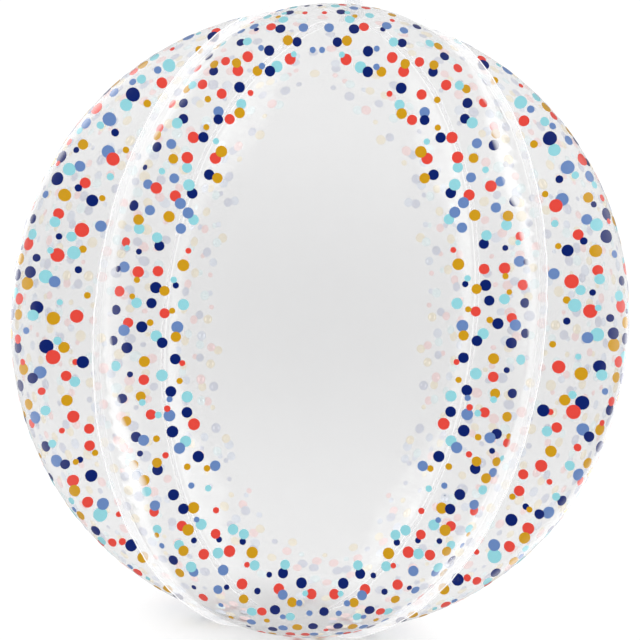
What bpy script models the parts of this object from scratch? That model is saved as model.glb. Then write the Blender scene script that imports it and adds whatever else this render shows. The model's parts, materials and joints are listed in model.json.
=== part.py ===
"""Sphere foil balloon: four film panels welded edge to edge, with a filling neck at the top.

Metres, +Z up. The origin is the middle of the small flat spot that the balloon rests on,
and the front panel faces -Y. A filled balloon is taut, so each panel is the quarter of the
filled form that lies behind its film, with its own leaf of the two seam flanges.
"""

import math

import bmesh
import bpy

# Driving sizes
WIDTH = 0.390  # across the middles of two opposite panels
HEIGHT = 0.392  # from the flat spot to the top pole
PANEL_NAMES = ("front_panel", "right_panel", "back_panel", "left_panel")
FULLNESS = 2.04  # exponent of the upright outline, where 2 is an ellipse
SEAM_SHARE = 0.848  # a seam's distance from the axis, as a share of the panel's middle
LOBE_EXPONENT = 2.4  # how late a panel's rounded section turns in towards its seams
REST_RADIUS = 0.027  # radius of the flat spot under a panel's middle
POLE_RADIUS = 0.004  # radius of the level top where the four panels' tips meet
SEAM_GAP = 0.0003  # clearance between two neighbouring panels

FLANGE_WIDTH = 0.005  # how far a seam flange stands out from the film
FLANGE_LEAF = 0.0006  # thickness of one panel's leaf of the flange
FLANGE_RUN_OUT_TOP = 0.016  # length over which a flange narrows to nothing beside the neck
FLANGE_RUN_OUT_BASE = 0.036  # and before it reaches the flat spot

NECK_WIDTH = 0.018  # filling neck, across its parallel sides
NECK_BASE_WIDTH = 0.024  # across its flared foot
NECK_LENGTH = 0.030
NECK_FLARE = 0.008  # height of the flared foot
NECK_CORNER = 0.004  # corner radius at the free end
NECK_THICKNESS = 0.0012
NECK_CLEARANCE = 0.0003  # between the neck's foot and the panels' tips
NECK_SIDE_ROOM = 0.002  # between the neck's foot and the ends of the flanges beside it

# Resolution of the faceted solids
SECTIONS = 34  # from the flat spot up to the top pole
ARC_STEPS = 14  # across one panel
CORNER_STEPS = 5

# Finishes: colour, roughness, metallic value and opacity
PANEL_FINISH = ((0.86, 0.88, 0.90), 0.12, 0.0, 0.55)
NECK_FINISH = ((0.80, 0.83, 0.86), 0.20, 0.0, 0.60)

HALF_PANEL = math.pi / len(PANEL_NAMES)
HALF_WIDTH = WIDTH / 2
CENTRE_SHARE = (1 - (REST_RADIUS / HALF_WIDTH) ** FULLNESS) ** (1 / FULLNESS)
POLAR_RADIUS = HEIGHT / (1 + CENTRE_SHARE)
CENTRE_HEIGHT = HEIGHT - POLAR_RADIUS


def outline_height(radius, upper):
    """Height of the outline where a panel's middle is at this radius."""
    rise = POLAR_RADIUS * (1 - (radius / HALF_WIDTH) ** FULLNESS) ** (1 / FULLNESS)
    return CENTRE_HEIGHT + (rise if upper else -rise)


def outline_point(turn):
    """Radius and height of a panel's middle; turn runs from 0 at the lowest to 1 at the top."""
    low = -math.acos(min(1.0, (REST_RADIUS / HALF_WIDTH) ** (FULLNESS / 2)))
    high = math.acos((POLE_RADIUS / HALF_WIDTH) ** (FULLNESS / 2))
    angle = low + (high - low) * turn
    radius = HALF_WIDTH * math.cos(angle) ** (2 / FULLNESS)
    return radius, outline_height(radius, angle > 0)


def lobe_share(angle):
    """Radius of a panel's rounded section at this angle from its middle, where 1 is the middle."""
    return 1 - (1 - SEAM_SHARE) * abs(angle / HALF_PANEL) ** LOBE_EXPONENT


def seam_normal(turn):
    """Outward direction of the seam line in its own upright plane, as (outwards, upwards)."""
    step = 1e-4
    low_radius, low_height = outline_point(max(0.0, turn - step))
    high_radius, high_height = outline_point(min(1.0, turn + step))
    along = (SEAM_SHARE * (high_radius - low_radius), high_height - low_height)
    length = math.hypot(*along)
    return along[1] / length, -along[0] / length


def flange_width(radius, upper):
    """Width of the flange, which runs out towards the flat spot and towards the neck."""
    if upper:
        start = NECK_BASE_WIDTH / 2 + NECK_SIDE_ROOM
        share = (radius * SEAM_SHARE - start) / FLANGE_RUN_OUT_TOP
    else:
        share = (radius - REST_RADIUS) * SEAM_SHARE / FLANGE_RUN_OUT_BASE
    share = min(1.0, max(0.0, share))
    return FLANGE_WIDTH * share * share * (3 - 2 * share)


def panel_section(turn):
    """One closed loop round the panel's quarter, as points for a panel whose middle faces +X."""
    radius, height = outline_point(turn)
    leaf = SEAM_GAP / 2 + FLANGE_LEAF
    seam_radius = radius * SEAM_SHARE
    arc_end = HALF_PANEL - math.asin(leaf / seam_radius)
    arc_radius = radius * lobe_share(arc_end)
    outwards, upwards = seam_normal(turn)
    width = flange_width(radius, height > CENTRE_HEIGHT)
    edge_radius = math.sqrt(arc_radius**2 - leaf**2) + width * outwards
    edge_height = height + width * upwards
    edge_points = []
    for offset in (SEAM_GAP / 2, leaf):
        along = edge_radius * math.cos(HALF_PANEL) + offset * math.sin(HALF_PANEL)
        across = edge_radius * math.sin(HALF_PANEL) - offset * math.cos(HALF_PANEL)
        edge_points.append((along, across, edge_height))
    loop = [(SEAM_GAP / 2 / math.sin(HALF_PANEL), 0.0, height)]
    loop += [(x, -y, z) for x, y, z in edge_points]
    for step in range(ARC_STEPS + 1):
        angle = arc_end * (2 * step / ARC_STEPS - 1)
        reach = radius * lobe_share(angle)
        loop.append((reach * math.cos(angle), reach * math.sin(angle), height))
    loop += reversed(edge_points)
    return loop


def panel_mesh(name):
    """A closed loft from the flat spot to the top pole."""
    bm = bmesh.new()
    loops = []
    for index in range(SECTIONS + 1):
        points = panel_section(index / SECTIONS)
        loops.append([bm.verts.new(point) for point in points])
    count = len(loops[0])
    for lower, upper in zip(loops, loops[1:]):
        for here in range(count):
            there = (here + 1) % count
            bm.faces.new((lower[here], lower[there], upper[there], upper[here]))
    bm.faces.new(reversed(loops[0]))
    bm.faces.new(loops[-1])
    bmesh.ops.remove_doubles(bm, verts=bm.verts, dist=1e-6)
    bmesh.ops.triangulate(bm, faces=[face for face in bm.faces if len(face.verts) > 3])
    bmesh.ops.recalc_face_normals(bm, faces=bm.faces)
    mesh = bpy.data.meshes.new(name)
    bm.to_mesh(mesh)
    bm.free()
    mesh.shade_smooth()
    mesh.set_sharp_from_angle(angle=math.radians(30))
    return mesh


def neck_outline():
    """Half of the neck's flat outline, from its foot to the middle of its free end."""
    base = NECK_BASE_WIDTH / 2
    side = NECK_WIDTH / 2
    points = []
    for step in range(CORNER_STEPS + 1):
        share = step / CORNER_STEPS
        ease = share * share * (3 - 2 * share)
        points.append((base + (side - base) * ease, NECK_FLARE * share))
    for step in range(CORNER_STEPS + 1):
        angle = math.pi / 2 * step / CORNER_STEPS
        across = side - NECK_CORNER * (1 - math.cos(angle))
        up = NECK_LENGTH - NECK_CORNER * (1 - math.sin(angle))
        points.append((across, up))
    return points


def neck_object():
    """The flat filling neck, standing on the top pole in the plane of two opposite seams."""
    half = neck_outline()
    outline = half + [(-across, up) for across, up in reversed(half)]
    curve = bpy.data.curves.new("filling_neck", "CURVE")
    curve.dimensions = "2D"
    curve.fill_mode = "BOTH"
    curve.extrude = NECK_THICKNESS / 2
    spline = curve.splines.new("POLY")
    spline.points.add(len(outline) - 1)
    for point, (across, up) in zip(spline.points, outline):
        point.co = (across, up, 0.0, 1.0)
    spline.use_cyclic_u = True
    neck = bpy.data.objects.new("filling_neck", curve)
    neck.location = (0.0, 0.0, HEIGHT + NECK_CLEARANCE)
    neck.rotation_euler = (math.pi / 2, 0.0, -HALF_PANEL)
    return neck


def film_material(name, finish):
    """A clear, glossy film."""
    colour, roughness, metallic, opacity = finish
    material = bpy.data.materials.new(name)
    material.use_nodes = True
    shader = material.node_tree.nodes["Principled BSDF"]
    shader.inputs["Base Color"].default_value = (*colour, 1.0)
    shader.inputs["Roughness"].default_value = roughness
    shader.inputs["Metallic"].default_value = metallic
    shader.inputs["Alpha"].default_value = opacity
    return material


def main():
    for old in list(bpy.context.scene.objects):
        bpy.data.objects.remove(old, do_unlink=True)
    collection = bpy.data.collections.new("sphere_foil_balloon")
    bpy.context.scene.collection.children.link(collection)

    mesh = panel_mesh("film_panel")
    for index, name in enumerate(PANEL_NAMES):
        panel = bpy.data.objects.new(name, mesh.copy())
        panel.data.name = name
        panel.rotation_euler.z = -math.pi / 2 + index * 2 * HALF_PANEL
        panel.data.materials.append(film_material(name, PANEL_FINISH))
        collection.objects.link(panel)
    bpy.data.meshes.remove(mesh)

    neck = neck_object()
    neck.data.materials.append(film_material("filling_neck", NECK_FINISH))
    collection.objects.link(neck)


main()
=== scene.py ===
"""Sphere foil balloon: clear film panels, welded seams, a confetti print and a filling neck.

Metres, +Z up. The balloon rests on its flat spot at the origin, and the front panel faces -Y.
A place on a panel is its distance across, from the middle line, and along, from the widest
row upwards. Seam 0 is between the front and the right panel, and the others follow by the back.
"""

import json
import math
from collections import namedtuple
from functools import partial

import bpy
import numpy as np
from mathutils import Matrix, Vector
from mathutils.bvhtree import BVHTree

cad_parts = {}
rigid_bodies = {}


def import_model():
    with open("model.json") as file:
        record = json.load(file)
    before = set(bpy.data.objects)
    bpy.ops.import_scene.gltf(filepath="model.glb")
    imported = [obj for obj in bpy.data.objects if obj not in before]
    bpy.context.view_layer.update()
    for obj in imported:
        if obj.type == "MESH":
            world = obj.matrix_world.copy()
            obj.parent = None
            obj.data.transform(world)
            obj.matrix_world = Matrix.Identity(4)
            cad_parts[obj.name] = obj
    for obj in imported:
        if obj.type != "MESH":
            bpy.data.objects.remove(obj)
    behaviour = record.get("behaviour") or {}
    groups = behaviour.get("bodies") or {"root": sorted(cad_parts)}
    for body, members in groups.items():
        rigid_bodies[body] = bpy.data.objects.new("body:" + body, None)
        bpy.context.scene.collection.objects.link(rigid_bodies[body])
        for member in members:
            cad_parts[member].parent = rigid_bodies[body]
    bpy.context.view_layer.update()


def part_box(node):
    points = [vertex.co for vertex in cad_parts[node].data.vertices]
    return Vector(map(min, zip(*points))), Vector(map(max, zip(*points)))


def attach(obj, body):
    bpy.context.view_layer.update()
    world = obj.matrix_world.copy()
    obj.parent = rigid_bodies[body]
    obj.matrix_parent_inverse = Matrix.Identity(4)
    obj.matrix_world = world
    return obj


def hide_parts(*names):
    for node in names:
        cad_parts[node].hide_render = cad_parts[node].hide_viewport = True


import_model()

bl_info = {
    "name": "Sphere Foil Balloon",
    "version": (1, 0, 0),
    "blender": (4, 5, 0),
    "location": "View3D > Sidebar > Balloon",
    "description": "Builds a clear four-panel sphere foil balloon with a confetti print",
    "category": "Object",
}

PANELS = ("front", "right", "back", "left")
BACK_SEAMS = (1, 2)
HALF_PANEL = math.pi / len(PANELS)
PANEL_LOW, PANEL_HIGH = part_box("front_panel")
NECK_LOW, NECK_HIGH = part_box("filling_neck")

# The grid of a panel's film
FLAT_ROWS, TOP_ROWS = 16, 3
FIRST_COLUMN = 0.0013  # distance from the seam's foot
COLUMN_STEP, COLUMN_GROWTH, WIDEST_STEP = 0.00115, 1.075, 0.0056
BEND_SHARES = (0.25, 0.5, 0.75, 1.0)  # columns of the bend from the film into the flange
FLANGE_SHARES = (0.5, 1.0)
BEND_HEIGHT = 0.0012
BEND_SHARE = 0.4  # most of the flange's width that the bend takes
HALF_GAP = 0.00015  # from the middle of a seam to each of its films
TIP_RADIUS = 0.006  # radius within which the gap and the bend close towards a pole
MERGE_GRID, MERGE_BEAD = 2e-6, 1e-6  # distances within which points are merged
NECK_ROOM = 0.002  # between the neck's foot and the ends of the flanges
TOP_RUN_OUT = 0.016  # length over which a flange narrows to nothing beside the neck
BASE_RUN_OUT = 0.036  # and before it reaches the flat spot
SEAM_OUTWARDS = np.array((math.cos(HALF_PANEL), math.sin(HALF_PANEL), 0.0))
SEAM_ACROSS = np.array((-math.sin(HALF_PANEL), math.cos(HALF_PANEL), 0.0))
UP = np.array((0.0, 0.0, 1.0))

# Puckers; a pair is the least and the most of a random draw
PUCKER_STEP = (0.0055, 0.0105)  # distance between two puckers of a seam
PUCKER_HALF_WIDTH = (0.0028, 0.0046)
PUCKER_DEPTH = (0.35, 1.0)  # as a share of the deepest
PUCKER_REACH = (0.010, 0.020)  # length away from the seam
PUCKER_LEAN = (-0.25, 0.25)
# Where each seam's puckers are strongest, and over what distance
SEAM_GATHERS = ((0.066, 0.045), (-0.080, 0.050), (0.075, 0.050), (-0.052, 0.045))
GATHER_BASE = 0.30  # strength of the puckers far from there
REACH_BASE, REACH_GROWTH = 0.7, 0.6  # how a pucker's reach grows with its strength
# How far from the widest row each seam's fans of creases are, and whether above or below
FANS = (((0.125, 1), (0.16, -1)), ((0.14, -1),), ((0.14, 1),), ((0.125, -1), (0.16, 1)))
FAN_CREASES = 7
FAN_STEP = 0.0052
FAN_SHAKE = (-0.001, 0.001)
FAN_LEAN = (1.3, 1.9)
FAN_CREASE_DEPTH = (0.6, 1.0)
FAN_REACH = (0.022, 0.034)
FAN_HALF_WIDTH = 0.0019
LONG_PUCKERS = 7  # shallow ones towards the poles
LONG_PLACE = (0.11, 0.24)
LONG_DEPTH = (0.0006, 0.0012)
LONG_HALF_WIDTH = (0.006, 0.010)
LONG_REACH = (0.03, 0.055)
LONG_LEAN = (-0.5, 0.5)
SIDE_DEPTH = (0.6, 1.1)  # by how much a pucker differs on the two sides of its seam
SIDE_REACH = (0.75, 1.15)
PUCKER_RISE = 0.0038  # distance from the seam over which a pucker starts
RIDGE_POWER, FALL_POWER = 1.5, 1.3
POLE_CALM, POLE_FADE = 0.012, 0.03  # radius at the poles without puckers, and where they fade in
SIDE_CALM = 0.3  # depth of the side panels' puckers as a share of the others'
SEAM_END = 0.02  # length at each end of a seam without puckers

# Ripples of the flange, and how much of them each column takes
RIPPLES = ((0.0093, 0.0141, 0.0237, 0.047), 0.0004)  # lengths of the waves, and their depth
TRIM = ((0.013, 0.031, 0.061), 0.00025)  # the same for the cut edge
FILM_WEIGHT, FILM_WEIGHT_REACH = 0.35, 0.012
FLANGE_WEIGHTS = (0.38, 0.42, 0.48, 0.55, 0.8, 1.0)

# Painted light: whiteness painted on the film towards the seams and the poles, in a strip beside the
# seams, in the puckers and on the flanges; heights and places are measured along, from the widest row
PAINTED_LIGHT_ACROSS, PAINTED_LIGHT_ALONG = 0.30, 0.16  # distances over which the film grows whiter
PAINTED_LIGHT_AMOUNT = 0.40
STRIP_AMOUNT = 0.56  # painted highlight: whiteness of the strip painted beside a seam
CREASE_AMOUNT = 0.45  # painted highlight: how much whiter the film is painted in its deepest puckers
STRIP_START, BACK_START = 0.006, 0.004  # distance of the strip from the seam's foot
STRIP_SHIFT = 0.022  # how much further from the seam the strip lies at its furthest
SHIFT_CENTRE, SHIFT_SPREAD = 0.095, 0.055
STRIP_WIDTH = 0.015
STRIP_WAVES = ((0.021, 0.037, 0.083), 0.004)  # waves of the strip's far edge
STRIP_EDGE, STRIP_BLUR = 0.0022, 0.012  # softness of its near and of its far edge
STRIP_CALM = 0.62  # its strength away from the longest teeth
STRIP_END, STRIP_FADE = 0.19, 0.07  # where it fades towards the poles
TOOTH_POINTS = 160  # tips and notches
TOOTH_STEP = (0.0030, 0.0052)
TOOTH_REACH = 0.33  # how far below the widest row the teeth start
TOOTH_LENGTH = (0.5, 1.0)
TOOTH_POWER = 1.4
TOOTH_CALM = 0.15  # length of the teeth away from the longest
TOOTH_CENTRE, TOOTH_SPREAD = 0.065, 0.085  # height where the teeth are longest
TOOTH_TIP = 0.003  # how near the longest teeth come to the seam's foot
TOOTHED = (1, 1, -1, -1)  # whether each seam's teeth are in its upper or its lower half
FAN_HEIGHT, FAN_SPREAD = 0.145, 0.05  # the back panel's fans of creases
FAN_WIDTH = 0.026  # how much wider the strip is there
FAN_DEPTH = 0.55  # how much less white it is between two creases
FAN_START, FAN_BLUR = 0.012, 0.01  # distance from the seam where that starts
FLANGE_PAINTED_LIGHT, BACK_FLANGE_PAINTED_LIGHT = 0.62, 0.95  # painted light: whiteness painted on the front and the back seams' flanges, which makes them glow
WELD_FALL = 0.35  # how much less it is beside the longest teeth
BACK_DULL = 5  # columns of film beside a back seam that are as dull as the weld

# Cut edges
EDGE_START = 0.3  # share of the flange's width, and of the bead's thickness, where a bead starts
EDGE_RADIUS = 0.00031
EDGE_COLOUR = (0.96, 0.96, 0.96, 1.0)
EDGE_OPACITY, EDGE_ROUGHNESS, EDGE_GLOSS = 0.9, 0.3, 0.2
# Painted light: the beads glow to paint a bright line, the back ones more to lift their shade
EDGE_PAINTED_GLOW, BACK_EDGE_PAINTED_GLOW = 0.1629, 0.45

# Surfaces
SMOOTH_ANGLE = math.radians(60)
FILM_SURFACE = (12.0, 0.00006)  # scale of the haze and depth of the wrinkles
EDGE_SURFACE = (30.0, 0.00002)
NECK_SURFACE = (60.0, 0.00008)
INK_SURFACE = (900.0, 0.00003)
WHITE = (1.0, 1.0, 1.0, 1.0)
FILM_IOR = 1.5
INK_IOR = 1.45
FILM_ROUGHNESS = 0.10
FILM_GLOSS, SIDE_GLOSS = 0.5, 0.10
FILM_PAINTED_GLOW = 0.36  # painted light: glow of the film where its painted whiteness is high
GLOW_START = 0.42  # painted whiteness from which it glows
HAZE_AMOUNT = 0.10
WELD_COLOUR = (0.93, 0.93, 0.935, 1.0)
WELD_ROUGHNESS = 0.4
WELD_GLOSS = 0.08
NECK_COLOUR = (0.86, 0.87, 0.88, 1.0)
# Painted light: the neck's film glows faintly to lift the shade of its stacked layers
NECK_ROUGHNESS, NECK_PAINTED_GLOW = 0.14, 0.08
INK_GLOSS = 0.05
INK_ROUGHNESS, UNDERSIDE_ROUGHNESS = 0.18, 0.3
UNDERSIDE_PAINTED_GLOW = 0.36  # painted light: glow of a dot's underside that stands in for light shining through it
DOT_HIGHLIGHT_RANGE = (0.16, 0.56)  # painted highlight: painted whiteness of the film over which a dot's colour is painted towards white
DOT_HIGHLIGHT_AMOUNT = 0.85
DOT_HIGHLIGHT_COLOUR = (0.97, 0.97, 0.97, 1.0)
ROUGHNESS_RANGE = (0.8, 1.2)
MOTTLE_RANGE = (0.92, 1.08)

# The confetti print
INKS = ("navy", "coral", "gold", "aqua", "blue")
INK_SHARES = (0.27, 0.25, 0.22, 0.155, 0.105)
SAME_INK, NEAR_SHARE = 0.05, 1.2  # rareness of an ink near its own kind, and how near that is
DOT_TRIES = 16000  # places tried for each layout
WIDEST_ACROSS = 0.16
POLE_ROOM = 0.008  # least distance between a dot and a pole
SEAM_ROOM = 0.0045  # least distance between a dot and the seam's foot
DOT_GAP = 0.0006  # least distance between two dots that don't touch on purpose
MIRROR_GAP = 0.0004  # least distance between a dot and the line that it is mirrored on
MIRROR_SNAP = 0.6  # share of its half width within which a dot is moved onto that line
FULL_ARC = 0.1  # half width of the film from which the whole margin is kept free
FRONT_MARGIN, SIDE_MARGIN, BACK_MARGIN = 0.024, 0.0058, 0.016
FRONT_VARIETY, SIDE_VARIETY = 0.09, 0.2  # how much the dots' sizes vary
WINDOW_SHAPE = 1.7  # exponent of the window's outline, where 1 is a lozenge and 2 an ellipse
LOOSE_EDGE = 0.07  # share of the window's size over which its edge thins out
LOOSE_SKIPS = 0.35
LOOSE_SPACING = 0.85
LOOSE_SMALL, SMALL_CHANCE = 0.38, 0.24  # chance of a small dot there and elsewhere
SMALL_ALONE, ANY_ALONE = 0.75, 0.22  # chances of no mate, for small dots first, then for any
MATE_SMALL = 0.3  # chance that a mate is small
MATE_GAP = (0.72, 0.97)  # distance between two mates, as a share of their radii
HIDDEN_FACING = 0.25  # how far beyond the outline the drawing out has faded
LIFT = 0.00003  # clearance between the film and a dot
LAYER = 0.00006  # step from a dot to the one printed over it
INK_THICKNESS = 0.00004
RAY_START, RAY_LENGTH = 0.006, 0.02  # a ray's start over the smooth form, and its reach inwards
LARGE_SIDES, SMALL_SIDES = 14, 10
RING_INSET = 0.45
FRONT_TURN = math.radians(6)  # how far the front's and the back's artwork is turned
ARTWORK = ((FRONT_TURN, (1, -1)), (0.0, (1,)), (-FRONT_TURN, (1, -1)), (0.0, (-1,)))

# The neck
NECK_LEVELS, NECK_SIDES = 26, 40
NECK_END = 0.0002
NECK_FLARE = 0.008
NECK_CORNER = 0.004
NECK_LEAF = 0.00010  # half of the thickness at the welds
NECK_SLACK = 0.55  # share of the fullness at the foot
NECK_CROWN = 1.5
CORNER_POWER = 8  # how near the neck's end the rounding of its corners starts
LIMP_DEPTH, LIMP_ACROSS, LIMP_UP = 0.00022, 420, 300
NECK_SMOOTH_ANGLE = math.radians(50)
TUBE_WALL = 0.00006
VALVE_FOOT, VALVE_WIDTH = 0.0125, 0.0120
VALVE_FULLNESS, VALVE_WELD = 0.25, 0.3  # as shares of the neck's
VALVE_BOTTOM, VALVE_TOP = 0.0006, 0.004  # distances of the valve's ends from the neck's

# The studio
SENSOR_WIDTH = 36.0
FLOOR_SIZE = 24.0
FLOOR_DROP = 0.0004
FLOOR_COLOUR = (0.925, 0.925, 0.925, 1.0)
SHADOW_FADE = (0.02, 0.13)  # distances between which the floor's shadow fades
BEHIND = (-0.1, 0.75)  # how far back a direction points where the far light starts and is full
# A pair of softboxes: the azimuths from the front where its light starts, is full, still is full
# and ends, the middle and half of its elevation, all in degrees, and its share of the light
SOFTBOXES = (
    (124, 136, 146, 156, 15, 26, 0.22),
    (106, 114, 124, 136, 17, 30, 0.36),
    (140, 148, 160, 166, -14, 26, 0.5),
)
SOFTBOX_LEAN = 0.35  # how far the boxes swing to the front with their height
SOFTBOX_CORE = 0.4  # share of a box's height that is evenly bright
FILM_LAYERS = 40  # see-through faces that a ray may pass

HalfPanel = namedtuple("HalfPanel", "radius along points width out film_columns")
PanelForm = namedtuple("PanelForm", "points smooth along middle film_columns width white")
PanelMap = namedtuple("PanelMap", "smooth normals along across white")
Pucker = namedtuple("Pucker", "place half_width depth reach lean")
Layout = namedtuple("Layout", "seed window margin spacing size variety")
Dot = namedtuple("Dot", "across along radius small ink layer")
Tube = namedtuple("Tube", "name foot width foot_weld weld fullness low high nodes")


# ---------------- settings


def setting(kind, options, name, description, default):
    """A setting of one kind, with its name, its description and its default."""
    return kind(name=name, description=description, default=default, **options)


metres = partial(setting, bpy.props.FloatProperty, {"precision": 5, "unit": "LENGTH"})
number = partial(setting, bpy.props.FloatProperty, {})
factor = partial(setting, bpy.props.FloatProperty, {"subtype": "FACTOR"})
radians = partial(setting, bpy.props.FloatProperty, {"subtype": "ANGLE"})
whole = partial(setting, bpy.props.IntProperty, {})
rgb = partial(setting, bpy.props.FloatVectorProperty, {"subtype": "COLOR"})


class FilmSettings(bpy.types.PropertyGroup):
    """The taut film and its welded seams."""

    width: metres("Width", "Across the middles of two opposite panels", -2 * PANEL_LOW.y)
    height: metres("Height", "From the flat spot to the top pole", PANEL_HIGH.z)
    fullness: number("Fullness", "Exponent of the upright outline, where 2 is an ellipse", 2.04)
    seam_share: factor(
        "Seam depth", "A seam's distance from the axis, as a share of the panel's middle", 0.848
    )
    lobe_exponent: number(
        "Lobe exponent", "How late a panel's rounded section turns in towards its seams", 2.4
    )
    rest_radius: metres("Flat spot radius", "Radius of the flat spot under a panel's middle", 0.027)
    pole_radius: metres("Top radius", "Radius of the level top where the four tips meet", 0.004)
    thickness: metres("Film thickness", "Thickness of the film, with its print lacquer", 0.0001)
    flange_width: metres("Flange width", "How far the welded edge stands out from the film", 0.005)
    pucker_depth: metres("Pucker depth", "Depth of the deepest puckers along the seams", 0.0013)
    rows: whole("Rows", "Rows of faces from the flat spot's edge to the top", 372)
    seed: whole("Pucker layout", "Number that picks the layout of the puckers", 41)
    tint: rgb(
        "Film tint",
        "Colour of the faint haze in the clear film, in the middle of a panel",
        (0.45, 0.45, 0.455),
    )
    # Painted light: the colour towards which the painted whiteness turns the film's haze
    edge_tint: rgb(
        "Gathered tint",
        "Colour of the haze towards the seams and the poles, where the film is gathered",
        (0.97, 0.97, 0.97),
    )
    opacity: factor("Face opacity", "Opacity of each of the film's two faces", 0.16)


class PrintSettings(bpy.types.PropertyGroup):
    """The confetti dots printed on the film."""

    large_radius: metres("Large dot radius", "Average radius of the large dots", 0.0027)
    small_radius: metres("Small dot radius", "Average radius of the small dots", 0.0016)
    spacing: metres(
        "Spacing", "Least distance between two places that hold one dot or a touching pair", 0.0077
    )
    side_spacing: metres("Side spacing", "The same distance on the side panels", 0.0095)
    back_spacing: metres("Back spacing", "The same distance on the back panel", 0.0119)
    side_size: number("Side dot share", "Size of the side panels' dots as a share of the front's", 1.27)
    back_size: number("Back dot share", "Size of the back panel's dots as a share of the front's", 1.35)
    window_across: metres("Window half width", "Half width of the front panel's clear window", 0.068)
    window_along: metres("Window half length", "Half length of the front panel's clear window", 0.150)
    back_window: number(
        "Back window share", "Size of the back panel's window as a share of the front's", 1.4
    )
    eye_distance: metres(
        "Viewing distance",
        "Distance in front of the balloon, or behind it, that the artwork is drawn for",
        0.67,
    )
    longest: number(
        "Longest dot", "Most that a dot is drawn out to look round from there, where 1 is round", 2.3
    )
    back_longest: number("Longest back dot", "The same on the back half of the balloon", 1.2)
    underprint: factor(
        "Underprint", "How white the dots look from inside, where the white under the ink shows", 0.62
    )
    seed: whole("Dot layout", "Number that picks the layout of the dots", 7)
    navy: rgb("Navy ink", "Colour of the navy dots", (0.003, 0.014, 0.135))
    coral: rgb("Coral ink", "Colour of the coral dots", (0.730, 0.062, 0.045))
    gold: rgb("Gold ink", "Colour of the gold dots", (0.571, 0.300, 0.010))
    aqua: rgb("Aqua ink", "Colour of the aqua dots", (0.270, 0.610, 0.670))
    blue: rgb("Blue ink", "Colour of the soft blue dots", (0.130, 0.225, 0.470))


class NeckSettings(bpy.types.PropertyGroup):
    """The flat filling neck at the top pole."""

    width: metres("Neck width", "Across the neck's parallel sides", 0.0176)
    foot_width: metres("Foot width", "Across the flared foot", 0.0236)
    weld: metres("Side weld", "Width of the welded strip down each side", 0.0026)
    fullness: metres("Fullness", "Thickness between the two slack layers", 0.0010)
    opacity: factor("Neck opacity", "Opacity of each face of the neck's film", 0.22)


class StudioSettings(bpy.types.PropertyGroup):
    """The camera, the floor and the light."""

    distance: metres("Camera distance", "From the balloon's middle", 0.673)
    lens: number("Focal length", "Focal length of the camera in millimetres", 58.1)
    roll: radians("Camera roll", "Turn about the line of sight", math.radians(6))
    backdrop: number("Backdrop", "Brightness of the white backdrop that the camera sees", 1.06)
    room: number("Room", "Even soft light from all round", 1.15)
    camera_side: number("Camera side", "Brightness that the film mirrors from behind the camera", 0.12)
    behind: number("Behind", "Brightness that the film mirrors from behind the balloon", 0.3)
    softbox: number("Softboxes", "Brightness of the tall softboxes at both sides", 5.0)


# ---------------- the film's form


def smoothstep(share):
    """Eases from 0 to 1 while the share runs from 0 to 1."""
    share = np.clip(share, 0.0, 1.0)
    return share * share * (3 - 2 * share)


def bell(value, centre, spread):
    """1 at the centre, and falling away over the spread."""
    return np.exp(-(((value - centre) / spread) ** 2))


def lengths_across(points):
    """Distance along each row of a grid of points, from its first column."""
    steps = np.linalg.norm(np.diff(points, axis=1), axis=2)
    return np.pad(np.cumsum(steps, axis=1), ((0, 0), (1, 0)))


def outline_rows(film):
    """Radius and height of a panel's middle, row by row from the flat spot to the top pole."""
    half_width = film.width / 2
    full = film.fullness
    centre_share = (1 - (film.rest_radius / half_width) ** full) ** (1 / full)
    polar_radius = film.height / (1 + centre_share)
    centre_height = film.height - polar_radius
    low = -math.acos((film.rest_radius / half_width) ** (full / 2))
    high = math.acos((film.pole_radius / half_width) ** (full / 2))
    angle = np.linspace(low, high, film.rows + 1)
    radius = half_width * np.cos(angle) ** (2 / full)
    rise = polar_radius * (1 - (radius / half_width) ** full) ** (1 / full)
    height = centre_height + np.sign(angle) * rise
    flat_radius = np.linspace(0.0, film.rest_radius, FLAT_ROWS, endpoint=False)
    top_radius = np.linspace(film.pole_radius, 0.0, TOP_ROWS + 1)[1:]
    radius = np.concatenate((flat_radius, radius, top_radius))
    height = np.concatenate((0 * flat_radius, height, 0 * top_radius + height[-1]))
    return radius, height


def widest_height(film):
    """Height of the widest row."""
    radius, height = outline_rows(film)
    return height[np.argmax(radius)]


def along_outline(radius, height):
    """Distance along a panel's middle, from 0 at the widest row, positive upwards."""
    steps = np.hypot(np.diff(radius), np.diff(height))
    along = np.concatenate(([0.0], np.cumsum(steps)))
    return along - along[np.argmax(radius)]


def column_shares(film):
    """Places of the columns from the seam's foot to the panel's middle, finest beside the seam."""
    half_arc = film.width / 2 * HALF_PANEL
    place = FIRST_COLUMN
    step = COLUMN_STEP
    places = []
    while place < half_arc:
        places.append(place)
        place += step
        step = min(step * COLUMN_GROWTH, WIDEST_STEP)
    places.append(half_arc)
    return np.array(places) / half_arc


def flange_profile(film, radius, height, seam_radius):
    """Width of the flange at each row; it runs out at the flat spot and beside the neck."""
    foot_room = (NECK_HIGH - NECK_LOW).xy.length / 2 + NECK_ROOM
    top_share = (seam_radius - foot_room) / TOP_RUN_OUT
    base_share = (radius - film.rest_radius) * film.seam_share / BASE_RUN_OUT
    upper = height > film.height / 2
    return film.flange_width * smoothstep(np.where(upper, top_share, base_share))


def wave(rng, along, lengths, amount):
    """A seeded ripple made of a few sines of different lengths."""
    total = np.zeros_like(along)
    for length in lengths:
        start = rng.uniform(0, 2 * math.pi)
        total += np.sin(along / length * 2 * math.pi + start) / len(lengths)
    return amount * total


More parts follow.
